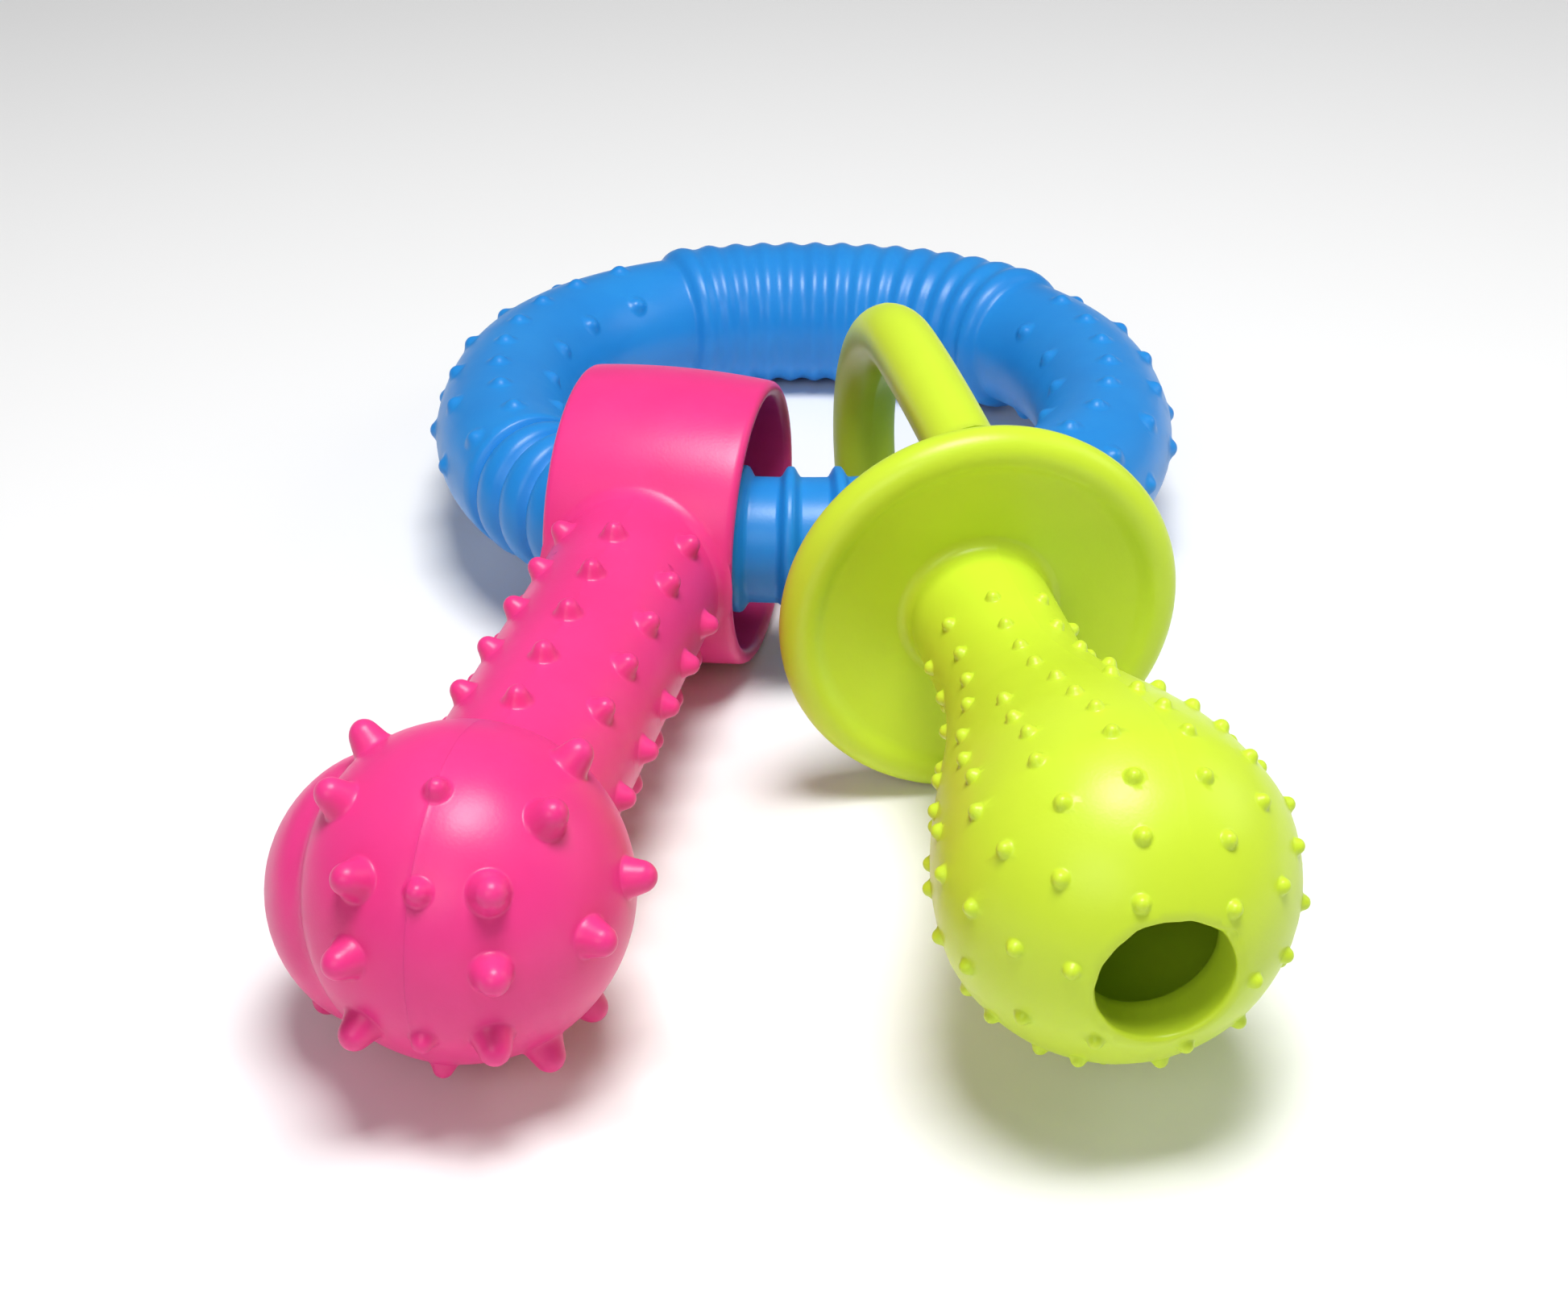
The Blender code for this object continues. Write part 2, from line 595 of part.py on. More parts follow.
def handle_path():
    points = []
    leg_steps = 8
    for step in range(leg_steps):
        part = HANDLE_START + (HANDLE_STRAIGHT - HANDLE_START) * step / leg_steps
        bow = math.sin(math.pi / 2 * part / HANDLE_STRAIGHT)
        height = HANDLE_ROOT_HALF_HEIGHT + (HANDLE_HALF_HEIGHT - HANDLE_ROOT_HALF_HEIGHT) * bow
        points.append(Vector((0.0, part, height)))
    bottom = [Vector((0.0, point.y, -point.z)) for point in reversed(points)]
    round_steps = 14
    for step in range(round_steps + 1):
        turn = math.radians(90.0 - 180.0 * step / round_steps)
        points.append(Vector((0.0, HANDLE_STRAIGHT + HANDLE_HALF_HEIGHT * math.cos(turn),
                              HANDLE_HALF_HEIGHT * math.sin(turn))))
    return points + bottom


def make_dummy(parts, cutters, green, plug_plastic):
    make_teat(parts, green)
    path = handle_path()
    handle = curve_to_mesh(tube_curve("handle_loop", path, [HANDLE_TUBE_R] * len(path), 4))
    shield = turned("shield", shield_profile(), 40, closed=True)
    for end in (path[0], path[-1]):
        level = "top" if end.z > 0 else "bottom"
        peg_middle = Vector((0.0, end.y - PEG_LENGTH / 2 + 1.0, end.z * 0.99))
        peg = cylinder("peg_" + level, PEG_R, PEG_LENGTH + 2.0, segments=16)
        finish_object(peg, cutters, HANDLE_MATRIX @ place(peg_middle) @ FACE_FORWARD)
        boolean(handle, "UNION", peg)
        socket = cylinder("peg_socket_" + level, PEG_R + GAP, PEG_LENGTH + 2.0 + 2 * GAP, segments=16)
        finish_object(socket, cutters, HANDLE_MATRIX @ place(peg_middle) @ FACE_FORWARD)
        boolean(shield, "DIFFERENCE", socket)
    finish_object(handle, parts, HANDLE_MATRIX, green)
    finish_object(shield, parts, DUMMY_MATRIX @ FACE_FORWARD, green)
    back = -SHIELD_BACK + PLUG_SEAT_DEPTH - GAP
    plug = turned("teat_plug", [(0.0, PLUG_REACH), (PLUG_R, PLUG_REACH), (PLUG_R, back),
                                (PLUG_HEAD_R, back), (PLUG_HEAD_R, back - PLUG_HEAD_LENGTH),
                                (0.0, back - PLUG_HEAD_LENGTH)], 24)
    finish_object(plug, parts, DUMMY_MATRIX @ FACE_FORWARD, plug_plastic)


def main():
    clear_scene()
    parts = new_collection("baby_rattle")
    cutters = new_collection("cutters")
    blue = make_material("blue_rubber", BLUE, 0.42)
    pink = make_material("pink_rubber", PINK, 0.38)
    green = make_material("green_rubber", GREEN, 0.40)
    hard_plastic = make_material("clear_plastic", CLEAR_PLASTIC, 0.25)
    bead_plastic = make_material("bead_plastic", BEAD_YELLOW, 0.35)
    make_ring(parts, cutters, blue, hard_plastic)
    make_stick(parts, cutters, pink)
    make_head(parts, cutters, pink)
    make_rattle(parts, hard_plastic, bead_plastic)
    make_dummy(parts, cutters, green, hard_plastic)


main()
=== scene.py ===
"""Baby rattle: the looks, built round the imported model.

Three soft rubber toys: a blue ring, a pink stick with a strap and a spiked two-lobed
head, and a green dummy with a dished shield, a nubbed teat and a D handle. Every skin is
a grid in two parameters, made finer round its nubs, then carried on to the surface.
Lengths in the functions below are millimetres; MM turns them into metres.
"""
import bisect
import functools
import json
import math

import bmesh
import bpy
from mathutils import Matrix, Vector
from mathutils.kdtree import KDTree

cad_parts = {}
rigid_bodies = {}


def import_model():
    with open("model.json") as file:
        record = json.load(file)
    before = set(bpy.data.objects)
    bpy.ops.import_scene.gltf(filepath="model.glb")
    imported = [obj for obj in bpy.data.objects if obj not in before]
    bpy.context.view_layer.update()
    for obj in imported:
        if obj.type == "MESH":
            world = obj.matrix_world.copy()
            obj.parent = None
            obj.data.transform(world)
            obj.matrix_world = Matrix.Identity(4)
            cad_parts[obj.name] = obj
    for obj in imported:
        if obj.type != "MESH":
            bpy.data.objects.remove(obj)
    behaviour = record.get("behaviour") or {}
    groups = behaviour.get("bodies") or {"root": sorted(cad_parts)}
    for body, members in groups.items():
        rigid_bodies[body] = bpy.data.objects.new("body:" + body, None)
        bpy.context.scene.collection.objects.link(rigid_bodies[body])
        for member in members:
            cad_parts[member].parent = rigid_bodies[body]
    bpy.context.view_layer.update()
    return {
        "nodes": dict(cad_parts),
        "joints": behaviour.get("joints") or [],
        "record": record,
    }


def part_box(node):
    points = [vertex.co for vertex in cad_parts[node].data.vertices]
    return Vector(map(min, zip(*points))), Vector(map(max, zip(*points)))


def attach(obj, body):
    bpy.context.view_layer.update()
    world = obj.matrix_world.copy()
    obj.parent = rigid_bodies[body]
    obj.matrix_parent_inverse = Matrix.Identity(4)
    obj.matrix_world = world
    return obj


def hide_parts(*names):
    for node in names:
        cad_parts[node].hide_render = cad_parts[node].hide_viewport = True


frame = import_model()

MM = 0.001
UP = Vector((0.0, 0.0, 1.0))

# Camera, placed from the middle of the floor under the object
CAMERA_PLACE = (-1.6, -280.7, 175.9)
CAMERA_PITCH_DEG = 32.0
CAMERA_LENS = 55.5
SENSOR_WIDTH = 36.0

# Ring
RING_HALF_WIDTH = 44.1
RING_HALF_DEPTH = 46.6
RING_SQUARENESS = 2.25
RING_TILT_DEG = -5.3
TUBE_R = 9.8
RIB_ROOT_R = 10.9
RIB_HEIGHT = 0.5
RIB_COUNT = 14
BACK_ZONE = (41.0, 117.0)
WAIST_R = 8.3
RIDGE_HEIGHT = 1.4
RIDGE_PITCH_DEG = 8.3
RIDGE_PHASE_DEG = 259.0
FRONT_ZONE = (215.0, 303.0)
BAND_STOP_DEG = 233.0
BAND_R = 9.6
GROOVE_PITCH_DEG = 5.8
GROOVE_DEPTH = 1.0
# Rows of nubs on each side: lean from outward to up, degrees from the front zone, and pitch
SIDE_NUB_ROWS = ((4.0, 11.0, 14.5), (44.0, 4.5, 14.5), (88.0, 7.0, 11.2), (138.0, 14.0, 17.0),
                 (-58.0, 11.0, 15.5), (-115.0, 8.0, 16.0))
SIDE_NUB_STOP_DEG = 93.0
RING_JOINT_GAP_DEG = 0.03

# Stick
LOOP_INNER_R = 16.9
LOOP_OUTER_R = 19.6
LOOP_EDGE_R = 19.0
LOOP_HALF_WIDTH = 12.5
SHAFT_R = 11.2
SHAFT_FILLET = 1.6
SHAFT_NUB_PITCH = 9.6
SHAFT_NUB_FIRST = 27.2
SHAFT_NUB_ROWS = 8
HEAD_R = 18.05
HEAD_CAVITY_R = 12.9
HEAD_SEAM_GAP_DEG = 0.02
LOBE_R = 15.8
LOBE_OFFSET = Vector((-6.6, 2.4, -2.6))
HEAD_TURN_DEG = 3.5
# Spikes in mirrored pairs: degrees from the plane of the seam, and round it from the front
SPIKE_PAIRS = ((36.0, 111.0), (36.0, 70.0), (22.0, 38.0), (24.0, 10.0), (22.0, -21.0),
               (33.0, -57.0), (42.0, -92.0), (60.0, 16.0), (78.0, 90.0))
SEAM_SPIKES = (70.0, 36.0, -19.0, -50.0, -85.0)
SHAFT_CLEAR_DEG = 48.0
SPIKE_R = 2.25
SPIKE_TIP_R = 1.75
SPIKE_HEIGHT = 3.1
SMALL_SPIKE_SCALE = 0.66
SMALL_SPIKE_HEIGHT = 1.5
LOBE_SPIKE_LEAN = 34.0
LOBE_SPIKE_FIRST = -11.0
LOBE_SPIKE_COUNT = 6
LOBE_GROOVE_DEPTH = 0.7
LOBE_GROOVE_WIDTH = 0.9

# Dummy
SHIELD_R = 24.7
SHIELD_BACK = 7.5
SHIELD_MOUNT_OFFSET = 12.0
DISH_DEPTH = 3.0
DISH_FLAT_R = 10.0
RIM_R = 2.7
BULB_DISTANCE = 51.9
BULB_R = 19.0
MOUTH_R = 7.1
NECK_R = 8.7
NECK_START = 12.0
NECK_END = 54.0
NECK_FILLET = 1.6
HOLLOW_R = 15.0
HOLLOW_DISTANCE = 49.8
SEAM_ROLL_DEG = 11.0
# Rings of nubs: distance in front of the shield, number round it, and one nub's turn from up
TEAT_RINGS = ((8.6, 9, -11.0), (15.0, 9, -12.0), (21.9, 9, -12.0), (29.0, 9, -12.0), (36.6, 16, -9.5),
              (43.0, 16, -8.5), (48.0, 16, -6.0), (53.4, 15, -6.0), (59.3, 15, -5.0), (64.5, 10, -8.0),
              (68.3, 6, -18.0))
HANDLE_OFFSET = Vector((-0.7, 2.5, -0.2))
HANDLE_TUBE_R = 4.3
HANDLE_HALF_HEIGHT = 19.6
HANDLE_ROOT_HALF_HEIGHT = 17.0
HANDLE_STRAIGHT = 34.5
HANDLE_START = 4.9

# Nubs: base radius, tip radius, height and fillet
RING_NUB = (1.6, 1.5, 0.9, 0.5)
SHAFT_NUB = (1.75, 1.3, 1.9, 0.6)
TEAT_NUB = (0.95, 0.85, 0.9, 0.2)
SPIKE_FILLET = 0.8
LOBE_SPIKE_HEIGHT = SPIKE_HEIGHT - 0.3

# Parting lines: a low ridge left by the mould
SEAM_HEIGHT = 0.04
SEAM_HALF_WIDTH = 0.30

BLUE = (0.016, 0.255, 0.690)
PINK = (0.830, 0.042, 0.250)
GREEN = (0.600, 0.780, 0.036)


# ---- shape tools ----

def smoothstep(value):
    value = min(1.0, max(0.0, value))
    return value * value * (3.0 - 2.0 * value)


def smooth_min(a, b, width):
    near = max(width - abs(a - b), 0.0)
    return min(a, b) - near * near / (4.0 * width)


def smooth_max(a, b, width):
    return -smooth_min(-a, -b, width)


def ridge(distance, height, half_width):
    """A small round-topped ridge across a distance from its middle."""
    return height * math.exp(-(distance / half_width) ** 2)


def spread(start, stop, step):
    """Values from start to stop at about the step."""
    count = max(1, round((stop - start) / step))
    return [start + (stop - start) * i / count for i in range(count + 1)]


def spread_down(start, stop, step):
    return list(reversed(spread(stop, start, step)))


def with_line(values, line, fine=(0.3, 0.8, 1.6)):
    """Adds close grid lines on both sides of a value, and drops the ones they crowd."""
    kept = [v for v in values if abs(v - line) > fine[-1] * 1.3]
    added = [line] + [line - f for f in fine] + [line + f for f in fine]
    return sorted(kept + added)


class Nub:
    """A blunt cone on a surface: foot, outward axis, base and tip radius, height, rounding."""

    def __init__(self, foot, axis, base, tip, height, rounding):
        self.foot = Vector(foot)
        self.axis = Vector(axis).normalized()
        self.base = base
        self.tip = tip
        self.height = height
        self.rounding = rounding
        centre = height - tip
        steepness = math.atan2(centre, base) + math.asin(tip / math.hypot(centre, base))
        self.slope = math.tan(steepness)
        self.touch = tip * math.sin(steepness)
        self.reach = base + rounding / self.slope

    def rise(self, distance):
        """Height over the surface: a cone that runs into a ball at its tip, with a fillet."""
        if distance < self.touch:
            side = self.height - self.tip + math.sqrt(self.tip ** 2 - distance ** 2)
        else:
            side = self.slope * (self.base - distance)
        return smooth_max(side, 0.0, self.rounding)


def profile_curve(points):
    """A function of the length along a polyline, and that polyline's whole length."""
    lengths = [0.0]
    for a, b in zip(points, points[1:]):
        lengths.append(lengths[-1] + math.dist(a, b))

    def at(length):
        index = min(max(bisect.bisect_right(lengths, length) - 1, 0), len(points) - 2)
        span = lengths[index + 1] - lengths[index]
        part = (length - lengths[index]) / span if span else 0.0
        a, b = points[index], points[index + 1]
        return a[0] + (b[0] - a[0]) * part, a[1] + (b[1] - a[1]) * part
    return at, lengths


def arc(centre, radius, start_deg, stop_deg, steps):
    """Points (x, y) on an arc, angles from +x towards +y."""
    turns = [math.radians(start_deg + (stop_deg - start_deg) * i / steps) for i in range(steps + 1)]
    return [(centre[0] + radius * math.cos(t), centre[1] + radius * math.sin(t)) for t in turns]


def nub_tree(nubs):
    tree = KDTree(max(1, len(nubs)))
    for index, nub in enumerate(nubs):
        tree.insert(nub.foot, index)
    tree.balance()
    return tree


def refine(shape, surface, tree, reach, steps):
    """Cuts the faces near a nub in four, once for each of the steps' margins."""
    for margin in steps:
        edges = set()
        for face in shape.faces:
            middle = face.calc_center_median()
            _, _, distance = tree.find(surface(middle.x, middle.y))
            if distance is not None and distance < reach + margin:
                edges.update(face.edges)
        bmesh.ops.subdivide_edges(shape, edges=list(edges), cuts=1, use_grid_fill=True)


def skin(name, us, vs, surface, nubs=(), levels=(1.0, 0.4, 0.2)):
    """A closed mesh over the grid us by vs. surface(u, v) gives the place in millimetres."""
    shape = bmesh.new()
    rows = [[shape.verts.new((u, v, 0.0)) for v in vs] for u in us]
    for low, high in zip(rows, rows[1:]):
        for i in range(len(vs) - 1):
            shape.faces.new((low[i], high[i], high[i + 1], low[i + 1]))
    reach = max((nub.reach for nub in nubs), default=0.0)
    if nubs:
        tree = nub_tree(nubs)
        refine(shape, surface, tree, reach, levels)
    for vert in shape.verts:
        point = Vector(surface(vert.co.x, vert.co.y))
        best = 0.0
        push = None
        if nubs:
            for _, index, _ in tree.find_range(point, reach + 0.5):
                nub = nubs[index]
                offset = point - nub.foot
                aside = (offset - nub.axis * offset.dot(nub.axis)).length
                height = nub.rise(aside) if aside < nub.reach else 0.0
                if height > best:
                    best = height
                    push = nub.axis
        if push is not None:
            point = point + push * best
        vert.co = point * MM
    bmesh.ops.remove_doubles(shape, verts=shape.verts, dist=0.000004)
    open_edges = [edge for edge in shape.edges if edge.is_boundary]
    if open_edges:
        bmesh.ops.holes_fill(shape, edges=open_edges, sides=0)
    bmesh.ops.recalc_face_normals(shape, faces=shape.faces)
    mesh = bpy.data.meshes.new(name)
    shape.to_mesh(mesh)
    shape.free()
    mesh.shade_smooth()
    mesh.set_sharp_from_angle(angle=math.radians(55.0))
    return bpy.data.objects.new(name, mesh)


def put(piece, matrix, material, body, slot, *nodes):
    """Links a new piece at its matrix, gives it its material and ties it to the frame."""
    bpy.context.scene.collection.objects.link(piece)
    piece.data.transform(matrix)
    piece.data.materials.append(material)
    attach(piece, body)
    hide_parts(*nodes)


def frame_matrix(origin, across, back, up):
    """A matrix from three directions; the origin is in metres."""
    turn = Matrix((across, back, up)).transposed().to_4x4()
    return Matrix.Translation(origin) @ turn


# ---- places from the frame ----

JOINTS = {joint["name"]: joint for joint in frame["joints"]}
MOUNTS = {mount["name"]: mount for mount in frame["record"]["mounts"]}


def stick_matrix():
    across = -Vector(JOINTS["stick_swing"]["axis"])
    back = Vector(JOINTS["bead_1_rattle"]["axis"])
    return frame_matrix(Vector(JOINTS["stick_swing"]["pos_m"]), across, back, across.cross(back))


def head_centre():
    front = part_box("capsule_half_front")
    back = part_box("capsule_half_back")
    low = Vector(map(min, front[0], back[0]))
    high = Vector(map(max, front[1], back[1]))
    return (low + high) / 2.0


def dummy_matrix():
    mount = MOUNTS["shield_back"]
    back = Vector(mount["axis"])
    across = back.cross(UP).normalized()
    centre = Vector(mount["pos_m"]) + (across * SHIELD_MOUNT_OFFSET - back * SHIELD_BACK) * MM
    return frame_matrix(centre, across, back, across.cross(back))


def handle_matrix():
    across = -Vector(JOINTS["dummy_swing"]["axis"])
    origin = dummy_matrix().translation + HANDLE_OFFSET * MM
    return frame_matrix(origin, across, UP.cross(across), UP)


def ring_matrix():
    tilt = Matrix.Rotation(math.radians(RING_TILT_DEG), 4, "X")
    back_point = Vector(MOUNTS["ring_back"]["pos_m"])
    centre = back_point - tilt @ Vector((0.0, RING_HALF_DEPTH * MM, 0.0))
    return Matrix.Translation(centre) @ tilt


STICK_MATRIX = stick_matrix()
HEAD_MATRIX = STICK_MATRIX.copy()
HEAD_MATRIX.translation = head_centre()
STICK_LENGTH = (STICK_MATRIX.translation - HEAD_MATRIX.translation).length / MM


# ---- materials ----

def rubber(name, colour, shade, roughness, scatter):
    """Soft moulded rubber: faint clouding, a fine grain, and light that soaks in a little."""
    material = bpy.data.materials.new(name)
    material.use_nodes = True
    nodes = material.node_tree.nodes
    links = material.node_tree.links
    shader = nodes["Principled BSDF"]
    shader.inputs["Subsurface Weight"].default_value = 0.12
    shader.inputs["Subsurface Radius"].default_value = scatter
    shader.inputs["Subsurface Scale"].default_value = 0.0016
    shader.inputs["IOR"].default_value = 1.48
    shader.inputs["Specular IOR Level"].default_value = 0.42
    place = nodes.new("ShaderNodeTexCoord")
    cloud = nodes.new("ShaderNodeTexNoise")
    cloud.inputs["Scale"].default_value = 70.0
    cloud.inputs["Detail"].default_value = 3.0
    tint = nodes.new("ShaderNodeMix")
    tint.data_type = "RGBA"
    tint.inputs["A"].default_value = (*shade, 1.0)
    tint.inputs["B"].default_value = (*colour, 1.0)
    spread_map = nodes.new("ShaderNodeMapRange")
    spread_map.inputs["From Min"].default_value = 0.30
    spread_map.inputs["From Max"].default_value = 0.62
    links.new(place.outputs["Object"], cloud.inputs["Vector"])
    links.new(cloud.outputs["Fac"], spread_map.inputs["Value"])
    links.new(spread_map.outputs["Result"], tint.inputs["Factor"])
    links.new(tint.outputs["Result"], shader.inputs["Base Color"])
    handled = nodes.new("ShaderNodeTexNoise")
    handled.inputs["Scale"].default_value = 260.0
    handled.inputs["Detail"].default_value = 4.0
    gloss = nodes.new("ShaderNodeMapRange")
    gloss.inputs["To Min"].default_value = roughness - 0.06
    gloss.inputs["To Max"].default_value = roughness + 0.08
    links.new(place.outputs["Object"], handled.inputs["Vector"])
    links.new(handled.outputs["Fac"], gloss.inputs["Value"])
    links.new(gloss.outputs["Result"], shader.inputs["Roughness"])
    grain = nodes.new("ShaderNodeTexNoise")
    grain.inputs["Scale"].default_value = 2600.0
    grain.inputs["Detail"].default_value = 2.0
    bump = nodes.new("ShaderNodeBump")
    bump.inputs["Strength"].default_value = 0.10
    bump.inputs["Distance"].default_value = 0.00012
    links.new(place.outputs["Object"], grain.inputs["Vector"])
    links.new(grain.outputs["Fac"], bump.inputs["Height"])
    links.new(bump.outputs["Normal"], shader.inputs["Normal"])
    return material


def hard_plastic(name, colour, roughness):
    """Plain moulded plastic for the pieces inside, with a slight unevenness in its gloss."""
    material = bpy.data.materials.new(name)
    material.use_nodes = True
    nodes = material.node_tree.nodes
    links = material.node_tree.links
    shader = nodes["Principled BSDF"]
    shader.inputs["Base Color"].default_value = (*colour, 1.0)
    place = nodes.new("ShaderNodeTexCoord")
    noise = nodes.new("ShaderNodeTexNoise")
    noise.inputs["Scale"].default_value = 400.0
    gloss = nodes.new("ShaderNodeMapRange")
    gloss.inputs["To Min"].default_value = roughness - 0.05
    gloss.inputs["To Max"].default_value = roughness + 0.05
    links.new(place.outputs["Object"], noise.inputs["Vector"])
    links.new(noise.outputs["Fac"], gloss.inputs["Value"])
    links.new(gloss.outputs["Result"], shader.inputs["Roughness"])
    return material


# ---- ring ----

@functools.lru_cache(maxsize=None)
def ring_point(theta_deg):
    theta = math.radians(theta_deg)
    across, along = math.cos(theta), math.sin(theta)
    filling = (abs(across) ** RING_SQUARENESS + abs(along) ** RING_SQUARENESS) ** (-1.0 / RING_SQUARENESS)
    return Vector((RING_HALF_WIDTH * across, RING_HALF_DEPTH * along, 0.0)) * filling


@functools.lru_cache(maxsize=None)
def ring_outward(theta_deg):
    tangent = ring_point(theta_deg + 0.1) - ring_point(theta_deg - 0.1)
    return tangent.cross(UP).normalized()


def zone_share(theta, zone, ease):
    return smoothstep((theta - zone[0]) / ease + 0.5) * smoothstep((zone[1] - theta) / ease + 0.5)


def ridge_share(offset, half_width, ease):
    """1 on top of a flat-topped ridge, 0 beside it, with soft shoulders."""
    return smoothstep((half_width - abs(offset)) / ease + 0.5)


@functools.lru_cache(maxsize=None)
def ring_radius(theta_deg):
    theta = theta_deg % 360.0
    radius = TUBE_R
    back = zone_share(theta, BACK_ZONE, 2.0)
    part = (theta - BACK_ZONE[0]) / (BACK_ZONE[1] - BACK_ZONE[0]) * RIB_COUNT
    rib = 0.5 - 0.5 * math.cos(2.0 * math.pi * part)
    radius += back * (RIB_ROOT_R - TUBE_R + RIB_HEIGHT * rib)
    front = zone_share(theta, (BAND_STOP_DEG, FRONT_ZONE[1]), 1.2)
    off_ridge = (theta - RIDGE_PHASE_DEG + RIDGE_PITCH_DEG / 2) % RIDGE_PITCH_DEG - RIDGE_PITCH_DEG / 2
    radius += front * (WAIST_R - TUBE_R + RIDGE_HEIGHT * ridge_share(off_ridge, 1.15, 1.5))
    bands = zone_share(theta, (FRONT_ZONE[0], BAND_STOP_DEG), 0.8)
    off_groove = (theta - FRONT_ZONE[0] + GROOVE_PITCH_DEG / 2) % GROOVE_PITCH_DEG - GROOVE_PITCH_DEG / 2
    swell = 0.25 * math.cos(2.0 * math.pi * off_groove / GROOVE_PITCH_DEG)
    radius += bands * (BAND_R - TUBE_R - swell)
    if theta < BAND_STOP_DEG:
        radius -= ridge(off_groove, GROOVE_DEPTH, 0.75) * smoothstep((theta - FRONT_ZONE[0]) + 1.0)
    return radius


def ring_surface(theta, phi):
    outward = ring_outward(theta)
    turn = math.radians(phi)
    direction = outward * math.cos(turn) + UP * math.sin(turn)
    return ring_point(theta) + direction * ring_radius(theta)


def ring_nubs():
    """Rows on both sides of the ring: outer edge, top, inner edge and the underside."""
    nubs = []
    for side_start, way in ((FRONT_ZONE[0], -1.0), (FRONT_ZONE[1], 1.0)):
        for lean, first, pitch in SIDE_NUB_ROWS:
            turn = math.radians(lean)
            for step in range(math.floor((SIDE_NUB_STOP_DEG - first) / pitch) + 1):
                theta = side_start + way * (first + pitch * step)
                direction = ring_outward(theta) * math.cos(turn) + UP * math.sin(turn)
                foot = ring_point(theta) + direction * TUBE_R
                nubs.append(Nub(foot, direction, *RING_NUB))
    return nubs


def ring_lines(start, stop):
    """Grid lines round the ring: close together on ribs and ridges."""
    lines = [start]
    while lines[-1] < stop:
        theta = lines[-1] % 360.0
        step = 1.9
        if BACK_ZONE[0] - 2.0 < theta < BACK_ZONE[1] + 2.0:
            step = 0.55
        elif FRONT_ZONE[0] - 1.6 < theta < FRONT_ZONE[1]:
            step = 0.36
        lines.append(lines[-1] + step)
    lines[-1] = stop
    return lines


def make_ring(material):
    matrix = ring_matrix()
    rounds = spread(0.0, 360.0, 8.0)
    gap = RING_JOINT_GAP_DEG
    front_lines = ring_lines(FRONT_ZONE[0] + gap, FRONT_ZONE[1] - gap)
    front = skin("ring_front_skin", front_lines, rounds, ring_surface)
    put(front, matrix, material, "ring", "ring_rubber", "ring_front_section")
    back_lines = ring_lines(FRONT_ZONE[1] - 360.0 + gap, FRONT_ZONE[0] - gap)
    back = skin("ring_back_skin", back_lines, rounds, ring_surface, ring_nubs())
    put(back, matrix, material, "ring", "ring_rubber", "ring_back_section")


# ---- stick ----

def make_strap():
    edge = (LOOP_EDGE_R - LOOP_INNER_R) / 2
    flat = LOOP_HALF_WIDTH - edge
    middle = (LOOP_EDGE_R + LOOP_INNER_R) / 2
    points = []
    for across in spread(-flat, flat, 1.2):
        share = across / flat
        points.append((across, LOOP_OUTER_R - (LOOP_OUTER_R - LOOP_EDGE_R) * share * share))
    points += arc((flat, middle), edge, 90.0, -90.0, 8)[1:]
    points += [(across, LOOP_INNER_R) for across in spread_down(flat, -flat, 2.0)[1:]]
    points += arc((-flat, middle), edge, 270.0, 90.0, 8)[1:]

    def surface(u, v):
        across, radius = points[round(u)]
        turn = math.radians(v)
        return Vector((across, -radius * math.cos(turn), radius * math.sin(turn)))

    return skin("strap_skin", list(range(len(points))), spread(0.0, 360.0, 3.0), surface)


def shaft_place(along, turn_deg):
    """A point of the shaft: along from the strap's outside towards the head, round from up."""
    turn = math.radians(turn_deg)
    part = min(max(SHAFT_FILLET - along, 0.0), SHAFT_FILLET)
    flare = SHAFT_FILLET - math.sqrt(SHAFT_FILLET ** 2 - part ** 2)
    radius = SHAFT_R + flare
    seam_distance = abs((turn_deg + 180.0) % 360.0 - 180.0) / 180.0 * math.pi * radius
    if along > SHAFT_FILLET:
        radius += ridge(seam_distance, SEAM_HEIGHT, SEAM_HALF_WIDTH)
    across = radius * math.sin(turn)
    share = across / LOOP_HALF_WIDTH
    strap_r = LOOP_OUTER_R - (LOOP_OUTER_R - LOOP_EDGE_R) * share * share
    start = math.sqrt(strap_r ** 2 - (radius * math.cos(turn)) ** 2) - 0.25
    stop = STICK_LENGTH - HEAD_R + 4.0
    share_left = 1.0 - smoothstep(along / 12.0)
    level = math.sqrt(LOOP_OUTER_R ** 2 - 1.0)
    distance = start * share_left + level * (1.0 - share_left) + along
    return Vector((across, -min(distance, stop), radius * math.cos(turn)))


def shaft_nubs():
    nubs = []
    stop = STICK_LENGTH - HEAD_R + 1.0
    for row in range(SHAFT_NUB_ROWS):
        turn = 2.0 * math.pi * row / SHAFT_NUB_ROWS
        direction = Vector((math.sin(turn), 0.0, math.cos(turn)))
        along = SHAFT_NUB_FIRST - (row % 2) * SHAFT_NUB_PITCH / 2
        while along < stop:
            foot = direction * SHAFT_R + Vector((0.0, -along, 0.0))
            nubs.append(Nub(foot, direction, *SHAFT_NUB))
            along += SHAFT_NUB_PITCH
    return nubs


def make_shaft():
    length = STICK_LENGTH - HEAD_R + 4.0 - LOOP_OUTER_R
    fillet_lines = [SHAFT_FILLET * (1.0 - math.cos(math.radians(a))) for a in (0, 20, 40, 60, 80)]
    alongs = fillet_lines + spread(SHAFT_FILLET, length, 1.5)
    rounds = with_line(spread(-180.0, 180.0, 7.5), 0.0, (0.6, 1.4, 2.6))
    return skin("shaft_skin", alongs, rounds, shaft_place, shaft_nubs())


